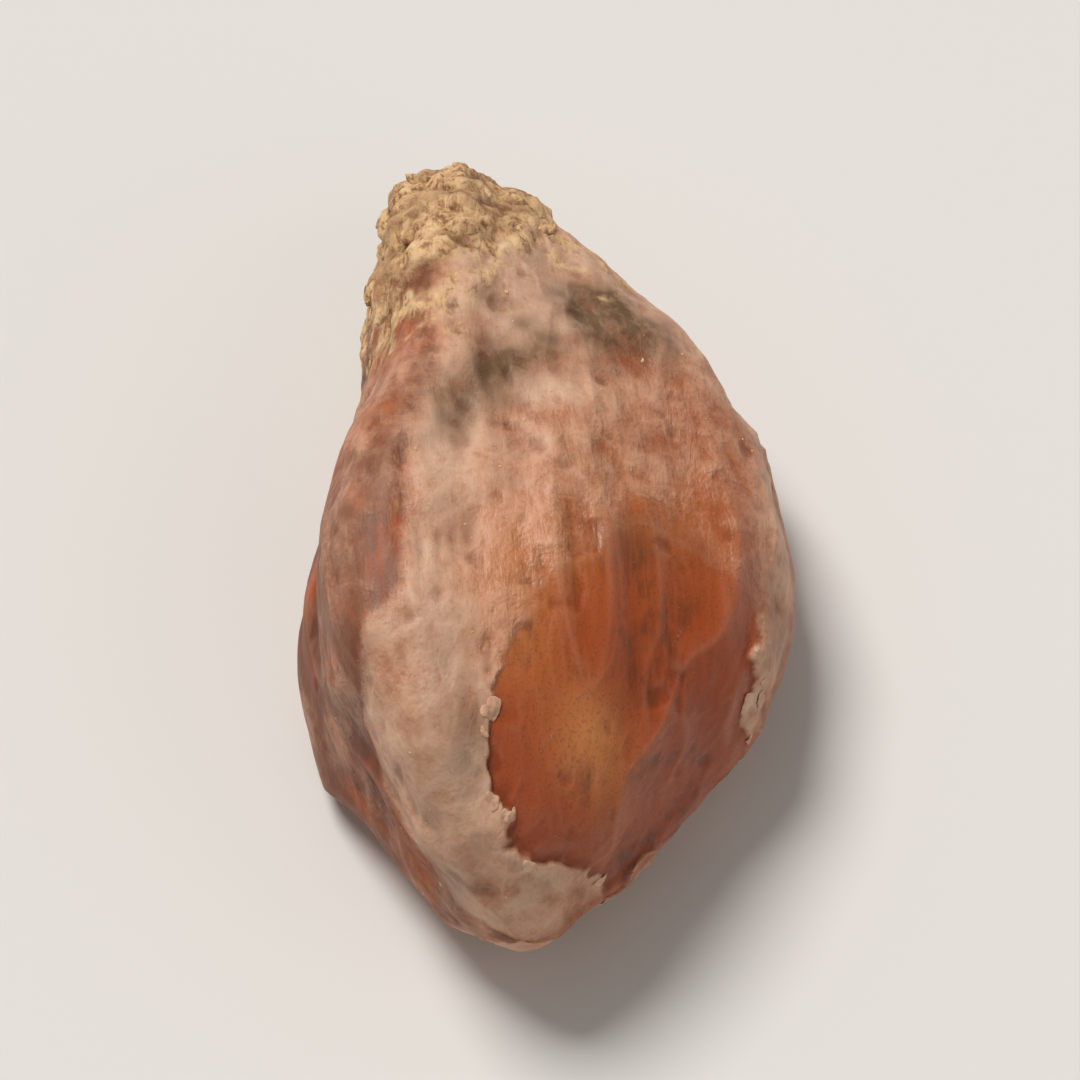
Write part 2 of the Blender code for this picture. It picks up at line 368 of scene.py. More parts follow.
def fine_relief(points, film, pulp, film_thickness):
    """Height in mm of what the solid leaves out: the film's step, lip and puckers, the coat's fibres, the crumbs.

    The film adds its thickness share, soft blisters and sharp-crested puckers along the seed; the coat adds low
    fibres and the raphe a narrow cord; the pulp adds rounded lumps of three sizes, from the size of soft noise;
    pits are thresholded noise.
    """
    x, y, z = np.moveaxis(points, -1, 0)
    amount = film["film"]
    lip = hill(film["edge"], 0.05, 0.05) * amount * film["broken"]
    height = film_thickness * amount + 0.45 * film_thickness * lip
    puckers = 0.80 * creases(points, (3.0, 1.1, 3.0), 13.1) + 0.20 * creases(points, (7.0, 3.0, 7.0), 7.7)
    height += amount * 0.050 * (puckers - 0.4)
    height += amount * (0.044 * lumps(points, (2.0, 1.6, 2.0), 15.2) + 0.010 * lumps(points, 5.0, 25.2))
    height += 0.024 * creases(points, (2.6, 0.45, 2.6), 41.7) + 0.022 * lumps(points, 1.4, 1.9)
    height += (1 - amount) * 0.006 * creases(points, (9.0, 0.9, 9.0), 17.9) + 0.035 * film["raphe"]
    crumbly = ease(pulp, -0.4, 1.0)
    crumbs = 0.075 * creases(points, (2.6, 1.6, 2.6), 9.3) + 0.055 * np.abs(lumps(points, 4.4, 2.2))
    crumbs += 0.030 * lumps(points, (9.0, 5.0, 9.0), 5.9) + 0.016 * lumps(points, 18.0, 15.9)
    height += crumbly * (crumbs - 0.02)
    furrow = hill(x + 0.72 - 0.28 * y, 0.0, 0.13) * hill(y, 0.75, 0.95) * ease(z, 2.2, 2.6)
    height -= 0.045 * furrow * (1 + 0.6 * lumps(points, 2.8, 71.3))
    pits = ease(lumps(points, 5.0, 31.0), 0.50, 0.8)
    height -= 0.040 * pits * (0.35 + 0.65 * crumbly)
    height -= 0.075 * hill(x, -0.24, 0.17) * hill(y, 1.83, 0.13) * ease(z, 1.4, 1.8)
    height -= 0.030 * hill(x, 0.55, 0.20) * hill(y, 1.95, 0.16) * ease(z, 1.2, 1.6)
    return height


def stain_field(points):
    """Where the film is stained khaki: smears as leaning ovals with rough edges, and faint blotches elsewhere."""
    rough = 0.11 * lumps(points, 3.4, 52.3) + 0.05 * lumps(points, 8.0, 12.6)
    smears = sum(share * ease(worn_oval(points, *oval) + rough, start, full) for share, oval, start, full in SMEARS)
    smears = smears * ease(points[..., 2], 1.0, 1.6)
    return np.clip(smears + 0.30 * ease(lumps(points, 1.3, 52.3), 0.30, 0.8), 0, 0.95)


def scar_field(points):
    """Where the hilum scar darkens the tip of the pulp: a round hump over the notch in the hilum end."""
    away = np.linalg.norm((points - SCAR[0]) / SCAR[1], axis=-1)
    return hill(away + 0.35 * lumps(points, 4.5, 81.4), 0.0, 1.0)


def warmth_field(points, side):
    """Where the coat turns lighter orange: a sum of humps on the top face, and blotches on the side face."""
    x, y, z = np.moveaxis(points, -1, 0)
    orange_share = sum(share * hill(x, *in_x) * hill(y, *in_y) for share, in_x, in_y in ORANGE_SPOTS) * ease(z, 1.0, 1.7)
    return np.clip(orange_share + 0.20 * side * ease(lumps(points, 0.9, 23.4), -0.2, 0.5), 0, 1)


@functools.lru_cache(maxsize=2)
def seed_skin(rings, spokes, film_thickness, flat_depth):
    """Fine surface on a grid of rings by spokes, in mm, with its normals, end points and the fields painted on it."""
    along = even_rings(rings)[:, None]
    angle = turn_of(spokes)
    base = fit_to_size(raised_points(along, angle), flat_depth)
    film = film_fields(base, along, angle + 0 * along)
    pulp = pulp_edge(base)
    raised = base + grid_normals(base) * fine_relief(base, film, pulp, film_thickness)[..., None]
    raised[..., 2] = np.maximum(raised[..., 2], 0.0)
    normals = grid_normals(raised)
    ends = fit_to_size(raised_points(ENDS, angle), flat_depth).mean(axis=1)
    ends += (raised[[0, -1]] - base[[0, -1]]).mean(axis=1)
    small = bending(raised, normals, 2)
    broad = bending(raised, normals, 7)
    return {
        **film,
        "points": raised,
        "normals": normals,
        "ends": ends,
        "pulp": pulp,
        "stain": stain_field(base),
        "scar": scar_field(base),
        "warmth": warmth_field(raised, film["side"]),
        # Crest and hollow: how far each point stands out of or sinks into the surface; the material pales the crests,
        # partly as worn film and partly as painted highlight, and darkens the hollows with painted shade
        "crest": np.clip(small / 0.006, 0, 1) * 0.6 + np.clip(broad / 0.05, 0, 1) * 0.4,
        "hollow": np.clip(-small / 0.006, 0, 1) * 0.5 + np.clip(-broad / 0.025, 0, 1) * 0.5,
        "along": along + 0 * angle,
    }


def on_skin(skin, row, column):
    """Point and normal of the skin at fractional rows and columns, by blending the four nearest grid points."""
    rows, columns = skin["points"].shape[:2]
    row = np.clip(row, 0, rows - 1.001)
    r0 = np.floor(row).astype(int)
    c0 = np.floor(column).astype(int)
    fr, fc = (row - r0)[..., None], (column - c0)[..., None]
    found = []
    for field in (skin["points"], skin["normals"]):
        near = field[r0, c0 % columns] * (1 - fc) + field[r0, (c0 + 1) % columns] * fc
        far = field[r0 + 1, c0 % columns] * (1 - fc) + field[r0 + 1, (c0 + 1) % columns] * fc
        found.append(near * (1 - fr) + far * fr)
    point, normal = found
    return point, normal / np.linalg.norm(normal, axis=-1, keepdims=True)


def skin_steps(skin, row, column):
    """Distance in mm between neighbouring rows and between neighbouring columns at the given grid places."""
    points = skin["points"]
    rows, columns = points.shape[:2]
    next_row = np.clip(row + 1, 0, rows - 1)
    down = np.linalg.norm(points[next_row, column] - points[np.clip(row, 0, rows - 2), column], axis=-1)
    across = np.linalg.norm(points[row, (column + 1) % columns] - points[row, column], axis=-1)
    return np.maximum(down, 1e-3), np.maximum(across, 1e-3)


# Meshes


def new_piece(scene, name, points, faces, look, fields=None):
    """Smooth-shaded object from points in mm and index arrays of faces, with point attributes, riding on the seed."""
    mesh = bpy.data.meshes.new(name)
    loops = np.concatenate([f.ravel() for f in faces])
    sizes = np.concatenate([np.full(len(f), f.shape[1]) for f in faces])
    mesh.vertices.add(len(points))
    mesh.vertices.foreach_set("co", (np.asarray(points) * MM).astype(np.float32).ravel())
    mesh.loops.add(len(loops))
    mesh.loops.foreach_set("vertex_index", loops.astype(np.int32))
    mesh.polygons.add(len(sizes))
    mesh.polygons.foreach_set("loop_start", np.concatenate([[0], np.cumsum(sizes)[:-1]]).astype(np.int32))
    mesh.polygons.foreach_set("use_smooth", np.ones(len(sizes), bool))
    mesh.update(calc_edges=True)
    for field, values in (fields or {}).items():
        stored = mesh.attributes.new(field, "FLOAT", "POINT")
        stored.data.foreach_set("value", np.asarray(values, np.float32).ravel())
    if mesh.validate():
        raise RuntimeError(f"{name}: its faces needed repair")
    mesh.materials.append(look(scene.quince_seed_colours))
    piece = bpy.data.objects.new(name, mesh)
    scene.collection.objects.link(piece)
    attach(piece, "root")
    return piece


def closed_grid_faces(rings, spokes):
    """Quads between neighbouring rings, and fans to a point past the first ring and a point past the last."""
    ring = np.arange(rings * spokes).reshape(rings, spokes)
    beside = np.roll(ring, -1, axis=1)
    quads = np.stack([ring[:-1], beside[:-1], beside[1:], ring[1:]], axis=-1).reshape(-1, 4)
    first, last = rings * spokes, rings * spokes + 1
    top = np.stack([np.full(spokes, first), beside[0], ring[0]], axis=-1)
    end = np.stack([np.full(spokes, last), ring[-1], beside[-1]], axis=-1)
    return quads, np.concatenate([top, end])


def many_grids(count, rings, spokes):
    """Faces of the given number of equal closed grids, one after another."""
    quads, fans = closed_grid_faces(rings, spokes)
    shift = (np.arange(count) * (rings * spokes + 2))[:, None, None]
    return (quads[None] + shift).reshape(-1, 4), (fans[None] + shift).reshape(-1, 3)


def tangents(normal, heading):
    """Two unit vectors across each normal, the first turned by the heading angle."""
    up = np.array([0.0, 1.0, 0.0]) + 0 * normal
    side = np.cross(up, normal)
    side /= np.maximum(np.linalg.norm(side, axis=-1, keepdims=True), 1e-9)
    other = np.cross(normal, side)
    c, s = np.cos(heading)[..., None], np.sin(heading)[..., None]
    return side * c + other * s, other * c - side * s


def pebbles(base, normal, size, sink, rings, spokes, rng):
    """Irregular grains: a ball squashed along the normal, its radius waved by three random harmonics, part sunk."""
    count = len(base)
    polar = (np.arange(1, rings + 1) * np.pi / (rings + 1))[None, :, None]
    azimuth = turn_of(spokes)[None]
    phase = rng.uniform(0, 2 * np.pi, (count, 3))[:, :, None, None]
    swell = 1
    for i, (wave, turns, slant) in enumerate(((0.20, 2, 0), (0.16, 3, 2), (0.10, 5, -3))):
        swell = swell + wave * np.sin(turns * azimuth + slant * polar + phase[:, i]) * np.sin(polar)
    across, other = tangents(normal, rng.uniform(0, 2 * np.pi, count))
    stretch = size[:, None] * rng.uniform((1.0, 0.6, 0.45), (1.5, 1.0, 0.75), (count, 3))

    def placed(x, y, z):
        place = base[:, None, None] + across[:, None, None] * (x * stretch[:, 0, None, None])[..., None]
        place = place + other[:, None, None] * (y * stretch[:, 1, None, None])[..., None]
        lifted = z * stretch[:, 2, None, None] + ((1 - 2 * sink) * stretch[:, 2])[:, None, None]
        return place + normal[:, None, None] * lifted[..., None]

    rings_at = placed(
        swell * np.sin(polar) * np.cos(azimuth),
        swell * np.sin(polar) * np.sin(azimuth),
        swell * np.cos(polar) + 0 * azimuth,
    ).reshape(count, -1, 3)
    zero = np.zeros((count, 1, 1))
    tops = placed(zero, zero, zero + 1).reshape(count, 1, 3)
    bottoms = placed(zero, zero, zero - 1).reshape(count, 1, 3)
    return np.concatenate([rings_at, tops, bottoms], axis=1).reshape(-1, 3)


def chosen_places(skin, wanted, count, rng):
    """Random grid places, spread evenly by area, where the wanted mask is true."""
    points = skin["points"]
    area = np.linalg.norm(np.roll(points, -1, axis=1) - points, axis=-1)
    chance = (area * wanted).ravel()
    picked = rng.choice(chance.size, size=count, replace=False, p=chance / chance.sum())
    return np.unravel_index(picked, points.shape[:2])


# Shader nodes


# Each helper works in the node tree that the first socket given to it belongs to


def feed(node, inputs):
    """Links each of a node's inputs to the socket given for it, or sets it to the value given for it."""
    for key, value in inputs.items():
        if isinstance(value, bpy.types.NodeSocket):
            node.id_data.links.new(value, node.inputs[key])
        else:
            node.inputs[key].default_value = value


def add(tree, kind, inputs=(), **settings):
    """A new shader node with its settings made and its inputs fed."""
    made = tree.nodes.new("ShaderNode" + kind)
    for setting, value in settings.items():
        setattr(made, setting, value)
    feed(made, dict(inputs))
    return made


def calc(operation, *values):
    """One step of arithmetic."""
    return add(values[0].id_data, "Math", enumerate(values), operation=operation).outputs[0]


def times(first, second):
    """Product of two values."""
    return calc("MULTIPLY", first, second)


def weigh(*pairs):
    """Sum of values, each times its weight."""
    return functools.reduce(functools.partial(calc, "ADD"), (times(*pair) for pair in pairs))


def wavered(value, wave, size):
    """The value, moved up and down by the size times a noise around 0.5."""
    return calc("ADD", value, times(calc("SUBTRACT", wave, 0.5), size))


def between(share, first, second):
    """Mix of two numbers."""
    return add(share.id_data, "Mix", {0: share, 2: first, 3: second}).outputs[0]


def blend(share, first, second, kind="MIX"):
    """Mix of two colours."""
    made = add(share.id_data, "Mix", {0: share, 6: first, 7: second}, data_type="RGBA", blend_type=kind)
    return made.outputs[2]


def fade(value, low, high, start=0.0, end=1.0):
    """Smooth step of a value from low to high, put out as start to end."""
    inputs = {"Value": value, "From Min": low, "From Max": high, "To Min": start, "To Max": end}
    return add(value.id_data, "MapRange", inputs, interpolation_type="SMOOTHSTEP").outputs[0]


def noise(vector, scale, detail=3.0, roughness=0.55, distortion=0.0):
    """Soft noise from 0 to 1."""
    inputs = {"Vector": vector, "Scale": scale, "Detail": detail, "Roughness": roughness, "Distortion": distortion}
    return add(vector.id_data, "TexNoise", inputs).outputs[0]


def stretched(vector, scale):
    """The vector scaled apart in X, Y and Z."""
    return add(vector.id_data, "Mapping", {"Vector": vector, "Scale": scale}).outputs[0]


def bump(height):
    """Normal from a height given in millimetres."""
    return add(height.id_data, "Bump", {"Strength": 1.0, "Distance": MM, "Height": height}).outputs[0]


FLOAT, COLOUR, VECTOR = "NodeSocketFloat", "NodeSocketColor", "NodeSocketVector"
FILM_COLOURS = dict.fromkeys(("Pale", "Pink", "Brown", "Lilac", "Stain"), COLOUR)
COAT_COLOURS = dict.fromkeys(("Dark", "Red", "Orange"), COLOUR)
PULP_COLOURS = dict.fromkeys(("Tan", "Brown", "Pale"), COLOUR)


def shared_effect(name, inputs, outputs):
    """Turns a function from a group's input sockets to its output values into one that makes that group once."""

    def wrap(effect):
        @functools.lru_cache(maxsize=None)
        def group():
            tree = bpy.data.node_groups.new(name, "ShaderNodeTree")
            for way, sockets in (("INPUT", inputs), ("OUTPUT", outputs)):
                for label, kind in sockets.items():
                    tree.interface.new_socket(name=label, in_out=way, socket_type=kind)
            given = tree.nodes.new("NodeGroupInput").outputs
            feed(tree.nodes.new("NodeGroupOutput"), effect(given))
            return tree

        return group

    return wrap


def use_effect(group, place, inputs=()):
    """Outputs of a shared effect at a place."""
    return add(place.id_data, "Group", {"Place": place, **dict(inputs)}, node_tree=group()).outputs


def settings_for(sockets, colours, what):
    """Colour settings of the coat, film or pulp, by the names of the sockets that take them."""
    return {name: getattr(colours, f"{what}_{name.lower()}") for name in sockets}


@shared_effect(
    "dried_film",
    {"Place": VECTOR, "Amount": FLOAT, "Staining": FLOAT, **FILM_COLOURS},
    {"Colour": COLOUR, "Cover": FLOAT, "Roughness": FLOAT, "Height": FLOAT},
)
def film_group(given):
    """Dried mucilage: brown where thin, pinkish tan, pale where thick; clouded, stained and drawn lengthwise."""
    place = given["Place"]
    mottle = noise(place, 2.4, 3.0, 0.60, 0.5)
    blots = noise(stretched(place, (1.0, 0.75, 1.0)), 5.2, 3.0, 0.60, 0.3)
    strands = noise(stretched(place, (1.0, 0.20, 1.0)), 11.0, 3.0, 0.62, 0.7)
    grain = noise(place, 30.0, 2.0, 0.65)

    uneven = weigh((mottle, 1.3), (blots, 0.6), (strands, 0.5), (grain, 0.2))
    uneven = times(calc("SUBTRACT", uneven, 1.3), fade(given["Amount"], 0.0, 0.5))
    amount = calc("ADD", given["Amount"], uneven)
    colour = blend(fade(amount, 0.10, 0.65), given["Brown"], given["Pink"])
    colour = blend(fade(amount, 0.70, 1.30), colour, given["Pale"])
    colour = blend(fade(blots, 0.50, 0.32, 0.0, 0.30), colour, given["Lilac"])
    greyed = times(given["Staining"], fade(blots, 0.36, 0.54, 0.65, 1.0))
    colour = blend(greyed, colour, given["Stain"])
    colour = blend(fade(grain, 0.60, 0.74, 0.0, 0.15), colour, given["Pale"])
    colour = blend(fade(grain, 0.42, 0.28, 0.0, 0.20), colour, given["Brown"])
    return {
        "Colour": colour,
        "Cover": fade(amount, 0.0, 0.95, 0.0, 0.94),
        "Roughness": calc("ADD", fade(amount, 0.1, 1.0, 0.36, 0.52), fade(grain, 0.35, 0.65, -0.05, 0.05)),
        "Height": weigh((strands, 0.007), (blots, 0.024), (mottle, 0.020), (grain, 0.0025)),
    }


@shared_effect(
    "seed_coat",
    {"Place": VECTOR, "Warmth": FLOAT, "Depth": FLOAT, **COAT_COLOURS},
    {"Colour": COLOUR, "Roughness": FLOAT, "Height": FLOAT},
)
def coat_group(given):
    """Bare seed coat: red-brown with fine fibres along the seed, darker mottling, lighter orange spots, and painted
    shade that darkens it on the side face.
    """
    place = given["Place"]
    fibres = noise(stretched(place, (1.0, 0.12, 1.0)), 13.0, 3.0, 0.62, 0.3)
    clouds = noise(stretched(place, (1.0, 0.6, 1.0)), 1.8, 3.0, 0.55, 0.5)
    cells = noise(place, 34.0, 2.0, 0.5)
    # The side face's mask darkens the coat there: painted shade
    tone = weigh((clouds, 0.70), (fibres, 0.30), (given["Depth"], -0.12))
    colour = blend(fade(tone, 0.31, 0.52), given["Dark"], given["Red"])
    orange_share = times(given["Warmth"], fade(tone, 0.34, 0.58, 0.45, 1.0))
    colour = blend(orange_share, colour, given["Orange"])
    colour = blend(fade(cells, 0.50, 0.70, 0.0, 0.35), colour, given["Dark"])
    return {
        "Colour": colour,
        "Roughness": weigh((fibres, 0.22), (cells, 0.16), (clouds, 0.14)),
        "Height": weigh((fibres, 0.007), (cells, 0.0025), (clouds, 0.01)),
    }


@shared_effect("dried_pulp", {"Place": VECTOR, **PULP_COLOURS}, {"Colour": COLOUR, "Height": FLOAT})
def pulp_group(given):
    """Dried pulp: crumbly tan, brown in its hollows, with pale corky grains."""
    place = given["Place"]
    grain = noise(place, 6.0, 4.0, 0.66, 0.6)
    patches = noise(place, 2.1, 2.0, 0.55)
    fibres = noise(stretched(place, (1.0, 0.28, 1.0)), 20.0, 2.0, 0.6, 1.0)
    tone = weigh((grain, 0.65), (fibres, 0.35))
    colour = blend(fade(tone, 0.37, 0.54), given["Brown"], given["Tan"])
    colour = blend(fade(tone, 0.52, 0.66, 0.0, 0.85), colour, given["Pale"])
    colour = blend(fade(patches, 0.48, 0.66, 0.0, 0.60), colour, given["Brown"])
    return {"Colour": colour, "Height": weigh((grain, 0.040), (fibres, 0.010), (patches, 0.02))}


@shared_effect("pale_dust", {"Place": VECTOR}, {"Mask": FLOAT})
def dust_group(given):
    """Fine pale dust: irregular grains cut from noise, that thin out in places."""
    place = given["Place"]
    grains = fade(noise(place, 34.0, 2.0, 0.6, 0.8), 0.66, 0.73)
    where = fade(noise(place, 1.9, 1.0), 0.44, 0.62, 0.1, 1.0)
    return {"Mask": times(grains, where)}


def new_material(name):
    """Empty material: itself, its Principled shader and its object coordinates in millimetres."""
    material = bpy.data.materials.new(name)
    material.use_nodes = True
    tree = material.node_tree
    place = add(tree, "TexCoord").outputs["Object"]
    return material, tree.nodes["Principled BSDF"], stretched(place, (1 / MM, 1 / MM, 1 / MM))


def seed_material(colours):
    """Coat, film, pulp and dust laid over each other by the mesh's own fields, broken up by noise, with painted shade
    in the hollows and on the side face, and crests paled partly as worn film and partly as painted highlight.
    """
    material, shader, place = new_material("quince_seed_skin")
    at = {name: add(place.id_data, "Attribute", attribute_name=name).outputs["Fac"] for name in SKIN_FIELDS}
    tatter = noise(place, 11.0, 2.0, 0.65)
    islands = noise(place, 2.6, 2.0, 0.60, 0.4)

    # Painted shade: the side face's mask darkens the coat on the side
    coat_inputs = {"Warmth": at["warmth"], "Depth": at["side"], **settings_for(COAT_COLOURS, colours, "coat")}
    film_inputs = {"Amount": at["film"], "Staining": at["stain"], **settings_for(FILM_COLOURS, colours, "film")}
    coat = use_effect(coat_group, place, coat_inputs)
    film = use_effect(film_group, place, film_inputs)
    pulp = use_effect(pulp_group, place, settings_for(PULP_COLOURS, colours, "pulp"))
    dust = use_effect(dust_group, place)["Mask"]

    edge = wavered(at["edge"], tatter, 0.16)
    rim = times(fade(edge, 0.0, 0.02), fade(edge, 0.02, 0.12, 1.0, 0.0))
    rim = times(rim, at["film"])
    on_film = film["Cover"]
    on_pulp = fade(wavered(wavered(at["pulp"], tatter, 1.1), islands, 3.0), -0.35, 0.55)

    tinted = blend(times(at["warmth"], 0.75), film["Colour"], colours.film_salmon)
    colour = blend(on_film, coat["Colour"], tinted)
    layers = (
        (rim, 0.30, colours.film_pale, "MIX"),
        (on_pulp, 1.0, pulp["Colour"], "MIX"),
        (at["scar"], 0.55, colours.pulp_brown, "MIX"),
        # Paler film on the crests: partly worn film, partly painted highlight
        (at["crest"], 0.15, colours.film_pale, "MIX"),
        # Painted shade: darkens the skin's hollows
        (at["hollow"], 0.55, colours.painted_hollow_shade, "MULTIPLY"),
        (dust, 0.40, colours.dust, "MIX"),
    )
    for share, strength, laid_on, kind in layers:
        colour = blend(times(share, strength), colour, laid_on, kind)

    rough = calc("ADD", coat["Roughness"], fade(at["side"], 0.0, 1.0, 0.12, 0.32))
    rough = between(on_film, rough, film["Roughness"])
    rubbed = calc("MAXIMUM", calc("MAXIMUM", on_film, on_pulp), at["side"])
    height = between(on_film, coat["Height"], calc("ADD", film["Height"], 0.010))
    height = between(on_pulp, height, pulp["Height"])
    feed(shader, {
        "Base Color": colour,
        "Roughness": between(on_pulp, rough, 0.9),
        "Specular IOR Level": 0.32,
        "Coat Weight": fade(rubbed, 0.1, 0.7, 0.10, 0.02),
        "Coat Roughness": 0.26,
        "Subsurface Weight": 0.10,
        "Subsurface Radius": (1.0, 0.35, 0.12),
        "Subsurface Scale": 0.3 * MM,
        "Normal": bump(calc("ADD", height, times(dust, 0.006))),
    })
    return material


def flake_material(colours):
    """Loose flakes of film: thick, pale and free of stains."""
    material, shader, place = new_material("loose_film")
    film_inputs = {"Amount": 1.05, "Staining": 0.0, **settings_for(FILM_COLOURS, colours, "film")}
    film = use_effect(film_group, place, film_inputs)
    feed(shader, {"Base Color": film["Colour"], "Roughness": film["Roughness"], "Normal": bump(film["Height"])})
    return material


def crumb_material(colours):
    """Crumbs of dried pulp with dust on them."""
    material, shader, place = new_material("pulp_crumb")
    pulp = use_effect(pulp_group, place, settings_for(PULP_COLOURS, colours, "pulp"))
    dust = times(use_effect(dust_group, place)["Mask"], 0.5)
    colour = blend(dust, pulp["Colour"], colours.dust)
    feed(shader, {"Base Color": colour, "Roughness": 0.88, "Normal": bump(pulp["Height"])})
    return material


def speck_material(colours):
    """Dust grains, some paler and some browner from one to the next."""
    material, shader, place = new_material("dust_speck")
    colour = blend(fade(noise(place, 3.0, 1.0), 0.42, 0.60), colours.pulp_tan, colours.dust)
    feed(shader, {"Base Color": colour, "Roughness": 0.85})
    return material


# Settings


def tint(name, description, default):
    """Colour setting in linear red, green and blue, with alpha 1."""
    return bpy.props.FloatVectorProperty(
        name=name, description=description, subtype="COLOR", size=4, min=0.0, max=1.0, default=(*default, 1.0)
    )


whole = functools.partial(bpy.props.IntProperty, min=1)
positive = functools.partial(bpy.props.FloatProperty, min=0.0)
length = functools.partial(positive, unit="LENGTH", subtype="DISTANCE", precision=6)
angle_of = functools.partial(bpy.props.FloatProperty, unit="ROTATION", subtype="ANGLE")


class QuinceSeedShape(bpy.types.PropertyGroup):
    """Sizes and counts of the seed's surface and of what lies on it."""

    rings: whole(
        name="Rings", description="Rings of the fine surface along the seed", default=210, min=40, max=400
    )
    spokes: whole(
        name="Spokes", description="Points round each ring of the fine surface", default=460, min=48, max=800
    )
    flat_depth: length(
        name="Flat depth", description="How much of the underside the flat resting spot takes off",
        default=0.16 * MM, max=0.3 * MM,
    )
    film_thickness: length(
        name="Film thickness", description="Height of the dried film's edge over the bare coat",
        default=0.016 * MM, max=0.05 * MM,
    )
    crumbs: whole(name="Pulp crumbs", description="Crumbs of dried pulp on the hilum end", default=60, max=200)
    flakes: whole(name="Film flakes", description="Flakes of film lifting along its worn edge", default=14, max=120)
    specks: whole(name="Dust specks", description="Grains of dust over the seed", default=120, max=800)


class QuinceSeedColours(bpy.types.PropertyGroup):
    """Colours of the coat, the film, the pulp, the dust and the painted shade of the hollows."""

    coat_red: tint("Coat red", "Main red-brown of the bare coat", (0.360, 0.062, 0.010))
    coat_dark: tint("Coat dark", "Dark fibres of the bare coat", (0.155, 0.034, 0.009))
    coat_orange: tint("Coat orange", "Lighter orange of the coat in spots", (0.580, 0.205, 0.055))
    film_pale: tint("Film pale", "Thickest film and its rims", (0.690, 0.440, 0.300))
    film_pink: tint("Film pink", "Usual pinkish tan film", (0.570, 0.280, 0.165))
    film_salmon: tint("Film salmon", "Film that glows with the coat under it", (0.760, 0.370, 0.215))
    film_brown: tint("Film brown", "Thin brownish film", (0.360, 0.155, 0.055))
    film_lilac: tint("Film lilac", "Greyish-brown cast in the film", (0.310, 0.180, 0.115))
    film_stain: tint("Film stain", "Khaki stains in the film", (0.105, 0.060, 0.020))
    pulp_tan: tint("Pulp tan", "Dried pulp", (0.730, 0.465, 0.230))
    pulp_brown: tint("Pulp brown", "Hollows of the dried pulp", (0.260, 0.122, 0.052))
    pulp_pale: tint("Pulp pale", "Palest grains of the dried pulp", (0.780, 0.580, 0.360))
    # Painted shade that is multiplied into the skin's hollows
    painted_hollow_shade: tint("Painted hollow shade", "Painted shade darkening the hollows", (0.320, 0.180, 0.110))
    dust: tint("Dust", "Pale dust", (0.620, 0.470, 0.340))


class QuinceSeedStage(bpy.types.PropertyGroup):
    """Camera and light."""

    elevation: angle_of(
        name="Camera elevation", description="Height of the camera over the floor as an angle",
        default=math.radians(60.0),
    )
    azimuth: angle_of(
        name="Camera azimuth", description="Turn of the camera about the seed, 0 looking along +Y",
        default=math.radians(-4.2),
    )
    framed: length(
        name="Framed width", description="Width that the camera's frame covers at the seed",
        default=9.4 * MM, min=1 * MM,
    )
    lens: positive(name="Lens", description="Focal length in mm", default=300.0, min=50.0)
    key_light: positive(name="Key light", description="Main light from the upper left", default=2.75)
    fill_light: positive(name="Fill light", description="Soft light from the right front", default=0.28)
    room_light: positive(name="Room light", description="Even light from all round", default=0.25)
    floor_size: length(name="Floor size", description="Length of the floor's sides", default=6.0)
    floor_colour: tint("Floor", "Plain pale floor", (0.74, 0.72, 0.69))
    backdrop_colour: tint("Backdrop", "What the camera sees past the floor", (0.745, 0.72, 0.675))


# Operators


def current_skin(scene):
    """Fine surface for the scene's settings."""
    shape = scene.quince_seed_shape
    thickness = round(shape.film_thickness / MM, 6)
    return seed_skin(shape.rings, shape.spokes, thickness, round(shape.flat_depth / MM, 6))


def scatter_grains(scene, name, wanted, count, look, seed, sizes, sink, grid):
    """Piece of grains on random places; each size is the least one plus a span times a random share to a power."""
    skin = current_skin(scene)
    rng = np.random.default_rng(seed)
    rows, columns = chosen_places(skin, wanted, count, rng)
    least, span, power = sizes
    size = least + span * rng.random(count) ** power
    grains = pebbles(skin["points"][rows, columns], skin["normals"][rows, columns], size, sink, *grid, rng)
    new_piece(scene, name, grains, many_grids(count, *grid), look)


class QUINCE_OT_seed(bpy.types.Operator):
    """Builds the seed's fine surface in place of the plain solid"""

    bl_idname = "quince.seed"
    bl_label = "Seed"

    def execute(self, context):
        skin = current_skin(context.scene)
        points = np.concatenate([skin["points"].reshape(-1, 3), skin["ends"]])
        fields = {name: skin[name] for name in SKIN_FIELDS}
        fields = {name: np.concatenate([v.ravel(), v[[0, -1]].mean(axis=1)]) for name, v in fields.items()}
        faces = closed_grid_faces(*skin["along"].shape)
        seed = new_piece(context.scene, "seed_skin", points, faces, seed_material, fields)
        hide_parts("quince_seed")
        return {"FINISHED"}


class QUINCE_OT_pulp(bpy.types.Operator):
    """Scatters crumbs of dried pulp over the hilum end, each sunk into the surface"""

    bl_idname = "quince.pulp"
    bl_label = "Pulp crumbs"

    def execute(self, context):
        scene = context.scene
        skin = current_skin(scene)
        wanted = (skin["pulp"] > 0.05) * (skin["points"][..., 2] > 0.35) * (skin["along"] > 0.03)
        wanted = wanted * ease(skin["pulp"], 0.0, 1.2)
        scatter_grains(
            scene, "pulp_crumbs", wanted, scene.quince_seed_shape.crumbs, crumb_material,
            seed=41, sizes=(0.035, 0.085, 2.2), sink=0.72, grid=(9, 14),
        )
        return {"FINISHED"}


